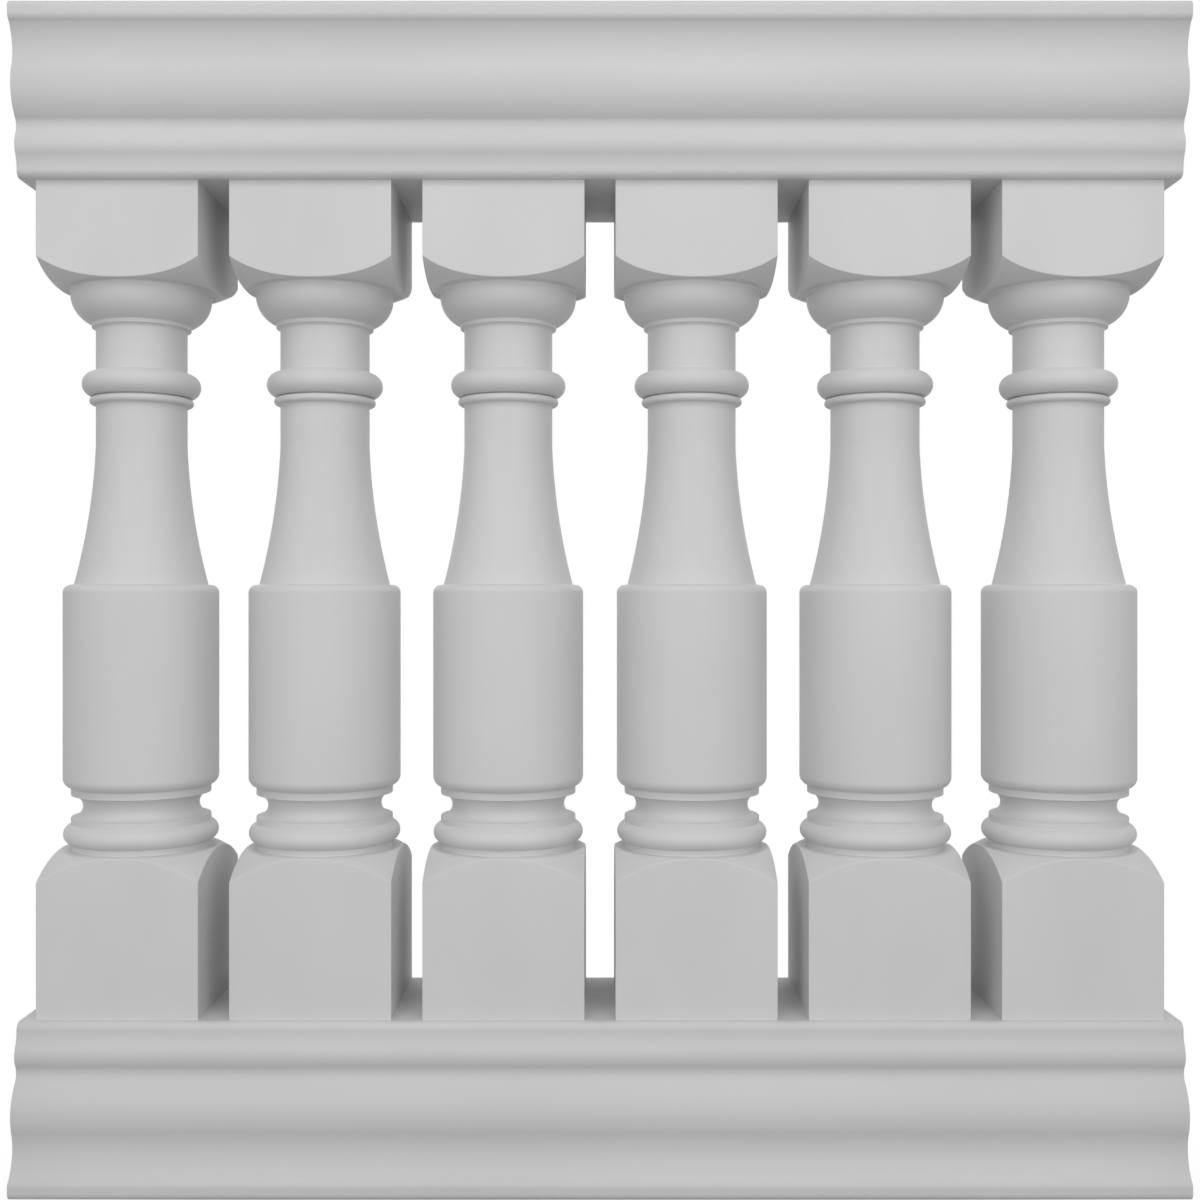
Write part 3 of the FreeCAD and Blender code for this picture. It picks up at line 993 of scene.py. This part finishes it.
        pen.line_to(shoulder)
        return pen.eased(self.arris)

    def shoulder(self, rows: Rows, foot: float, rise: float, crown: float) -> None:
        """Adds a shoulder's rows, from the block's faces in to its ledge.

        Args:
            rows: The rows so far.
            foot: The height of the arc's outer end, past the blank's corners.
            rise: How far the arc climbs to the ledge, or falls where it is less than nothing.
            crown: The arc's rise over its chord.
        """
        swing = self.block_width / math.sqrt(2) + self.turning_clearance
        ledge = self.block_width / 2 - self.shoulder_inset
        side = math.copysign(1.0, rise)
        outer, inner = np.array([swing, foot]), np.array([ledge, foot + rise])
        chord = inner - outer
        span = float(np.linalg.norm(chord))
        radius = bow_radius(span / 2, crown)
        inwards = np.array([-chord[1], chord[0]]) * side / span
        centre = (outer + inner) / 2 + inwards * (radius - crown)
        arc = (side, radius, float(centre[0]))
        block = [(-side * (self.block_arris + gap), 0.0, 1.0) for gap in reversed(self.SUPPORTS_MM)]
        for step in range(self.EASING_ROWS, -1, -1):
            share = step / self.EASING_ROWS
            block.append((-side * self.block_arris * share**2, self.block_arris * (1 - share) ** 2, 1.0))
        for step in range(1, self.SHOULDER_ROWS + 1):
            block.append((0.0, self.block_arris, 1 - step / self.SHOULDER_ROWS))
        for drop, back, square in block if side > 0 else reversed(block):
            rows.add(ledge, float(centre[1]) + drop, square, back, arc)

    def rows(self, height: float) -> Rows:
        """Sets out every row of the baluster.

        Args:
            height: The whole height.

        Returns:
            The rows from the foot's pole to the head's. Both ends are cut square, to sit tight on the rails.
        """
        rows = Rows()
        rows.add(0.0, 0.0)
        rows.add(0.0, 0.0, 1.0)
        rows.add(0.0, self.SUPPORTS_MM[0], 1.0)
        self.shoulder(rows, self.base_block_height, self.base_shoulder_height, self.base_shoulder_crown)
        for reach, up in self.turning()[1:-1]:
            rows.add(float(reach), float(up))
        cap_foot = height - self.cap_block_height
        self.shoulder(rows, cap_foot, -self.cap_shoulder_height, self.cap_shoulder_crown)
        rows.add(0.0, height - self.SUPPORTS_MM[0], 1.0)
        rows.add(0.0, height, 1.0)
        rows.add(0.0, height)
        return rows

    def shaper(self, finish: bpy.types.Material) -> NodeShaper:
        """Builds the tree that turns the rows round the axis.

        Args:
            finish: The baluster's material.

        Returns:
            The tree.
        """
        shaper = NodeShaper(self.TREE, self.INPUTS)
        shaper.known["index"] = add_node(shaper.tree, "GeometryNodeInputIndex").outputs[0]
        circle = add_node(
            shaper.tree, "GeometryNodeCurvePrimitiveCircle", {"Resolution": shaper.known["Columns"]}
        ).outputs[0]
        shaper.work_out(self.TURN_RULE)
        surface = shaper.lay(shaper.store(circle, ("turn",)))
        shaper.read(("turn", *Rows.NAMES))
        shaper.work_out(self.LATHE_RULE)
        shaper.finish(surface, finish)
        return shaper

    def build(self, shaper: NodeShaper) -> bpy.types.Object:
        """Turns the baluster in its node's place.

        Args:
            shaper: The lathe's tree.

        Returns:
            The finished piece.
        """
        low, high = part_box(self.node)
        sizes = {
            "Half Width": (high.x - low.x) / 2,
            "Arris": self.block_arris * MM,
            "Axis": (low.x + high.x) / 2,
            "Foot": low.z,
            "Columns": 4 * self.SIDE_COLUMNS,
            "Side Columns": self.SIDE_COLUMNS,
        }
        rows = self.rows((high.z - low.z) / MM).columns()
        piece = shaper.shape(f"turned_{self.node}", rows, False, sizes)
        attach(piece, "root")
        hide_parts(self.node)
        return piece


@dataclass(frozen=True)
class Lamp:
    """A soft lamp that looks at the middle of the object.

    Attributes:
        name: The lamp's name.
        azimuth: Degrees round from the front, towards the right.
        elevation: Degrees up.
        distance: How far from the middle it stands, in metres.
        width: Its width in metres.
        height: Its height in metres.
        watts: Its power.
    """

    name: str
    azimuth: float
    elevation: float
    distance: float
    width: float
    height: float
    watts: float

    def place(self, middle: Vector) -> None:
        """Hangs the lamp.

        Args:
            middle: Where it looks.
        """
        around, over = math.radians(self.azimuth), math.radians(self.elevation)
        away = Vector((math.sin(around) * math.cos(over), -math.cos(around) * math.cos(over), math.sin(over)))
        data = bpy.data.lights.new(self.name, "AREA")
        data.shape = "RECTANGLE"
        data.size = self.width
        data.size_y = self.height
        data.energy = self.watts
        lamp = bpy.data.objects.new(self.name, data)
        lamp.location = middle + away * self.distance
        lamp.rotation_euler = (-away).to_track_quat("-Z", "Y").to_euler()
        bpy.context.scene.collection.objects.link(lamp)


@dataclass
class Studio:
    """The floor, the lamps, the backdrop and the camera.

    Attributes:
        middle: The middle of the object.
        lamps: The lamps.
        ambient: The colour of the light from all round.
        ambient_strength: Its strength.
        backdrop: The colour of the backdrop to the camera.
        camera_distance: From the middle of the object to the camera, in metres.
        focal_pixels: The camera's focal length in pixels of the frame.
        frame_pixels: The frame's width.
        sensor_mm: The width of the camera's sensor.
        floor_size: The side of the floor in metres.
    """

    middle: Vector
    lamps: tuple[Lamp, ...] = (
        Lamp("low_left_softbox", -25.0, 5.0, 2.2, 1.0, 1.0, 7.2),
        Lamp("low_right_softbox", 25.0, 5.0, 2.2, 1.0, 1.0, 7.2),
        Lamp("high_left_softbox", -25.0, 45.0, 2.2, 1.0, 1.0, 6.5),
        Lamp("high_right_softbox", 25.0, 45.0, 2.2, 1.0, 1.0, 6.5),
        Lamp("back_left_softbox", -150.0, 20.0, 2.2, 1.0, 1.0, 2.2),
        Lamp("back_right_softbox", 150.0, 20.0, 2.2, 1.0, 1.0, 2.2),
    )
    ambient: str = "ffffff"
    ambient_strength: float = 0.4
    backdrop: str = "ffffff"
    camera_distance: float = 1.217
    focal_pixels: float = 1462.5
    frame_pixels: float = 1200.0
    sensor_mm: float = 36.0
    floor_size: float = 14.0

    def light(self) -> None:
        """Hangs the lamps and sets the light from all round, with a white backdrop."""
        for lamp in self.lamps:
            lamp.place(self.middle)
        world = bpy.data.worlds.new("studio_backdrop")
        world.use_nodes = True
        tree = world.node_tree
        tree.nodes.clear()
        soft = {"Color": linear(self.ambient), "Strength": self.ambient_strength}
        around = add_node(tree, "ShaderNodeBackground", soft).outputs[0]
        bright = {"Color": linear(self.backdrop), "Strength": 1.0}
        white = add_node(tree, "ShaderNodeBackground", bright).outputs[0]
        mixed = add_node(tree, "ShaderNodeMixShader", {0: seen_rays(tree), 1: around, 2: white}).outputs[0]
        add_node(tree, "ShaderNodeOutputWorld", {"Surface": mixed})
        bpy.context.scene.world = world

    def lay_floor(self) -> None:
        """Lays the floor under the object."""
        half = self.floor_size / 2
        mesh = bpy.data.meshes.new("studio_floor")
        corners = [(-half, -half, 0.0), (half, -half, 0.0), (half, half, 0.0), (-half, half, 0.0)]
        mesh.from_pydata(corners, [], [(0, 1, 2, 3)])
        mesh.materials.append(StudioFloor().material())
        floor = bpy.data.objects.new("studio_floor", mesh)
        bpy.context.scene.collection.objects.link(floor)

    def set_camera(self) -> None:
        """Sets the camera square to the front, level with the middle of the object."""
        data = bpy.data.cameras.new("front_camera")
        data.sensor_width = self.sensor_mm
        data.lens = self.focal_pixels / self.frame_pixels * self.sensor_mm
        camera = bpy.data.objects.new("front_camera", data)
        camera.location = self.middle + Vector((0.0, -self.camera_distance, 0.0))
        camera.rotation_euler = (QUARTER, 0.0, 0.0)
        bpy.context.scene.collection.objects.link(camera)
        bpy.context.scene.camera = camera


def main() -> None:
    """Builds the rails, the balusters and the studio in order."""
    logging.basicConfig(level=logging.INFO, format="%(name)s: %(message)s")
    bpy.context.scene.view_settings.view_transform = "Standard"
    rail_coat = PrimedFoam(
        "satin_primed_rail_foam", coat="d6d6d6", thin_coat="d2d2d2", stretch=(0.25, 1.0, 1.0)
    )
    baluster_coat = PrimedFoam(
        "satin_primed_baluster_foam", coat="dcdcdc", thin_coat="d8d8d8", stretch=(1.0, 1.0, 0.5)
    )
    rail_finish = rail_coat.material()
    baluster_finish = baluster_coat.material()
    for node, side in (("bottom_rail", RailSide.BOTTOM), ("top_rail", RailSide.TOP)):
        piece = MouldedRail(node, side, rail_finish).build()
        LOG.info("%s: %d faces", piece.name, len(piece.data.polygons))
    nodes = sorted(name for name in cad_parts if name.startswith("baluster"))
    lathe = TurnedBaluster(nodes[0]).shaper(baluster_finish)
    for node in nodes:
        piece = TurnedBaluster(node).build(lathe)
        LOG.info("%s: %d faces", piece.name, len(piece.data.polygons))
    low, high = CAD_BOX
    studio = Studio((low + high) / 2)
    studio.lay_floor()
    studio.light()
    studio.set_camera()


if __name__ == "__main__":
    main()
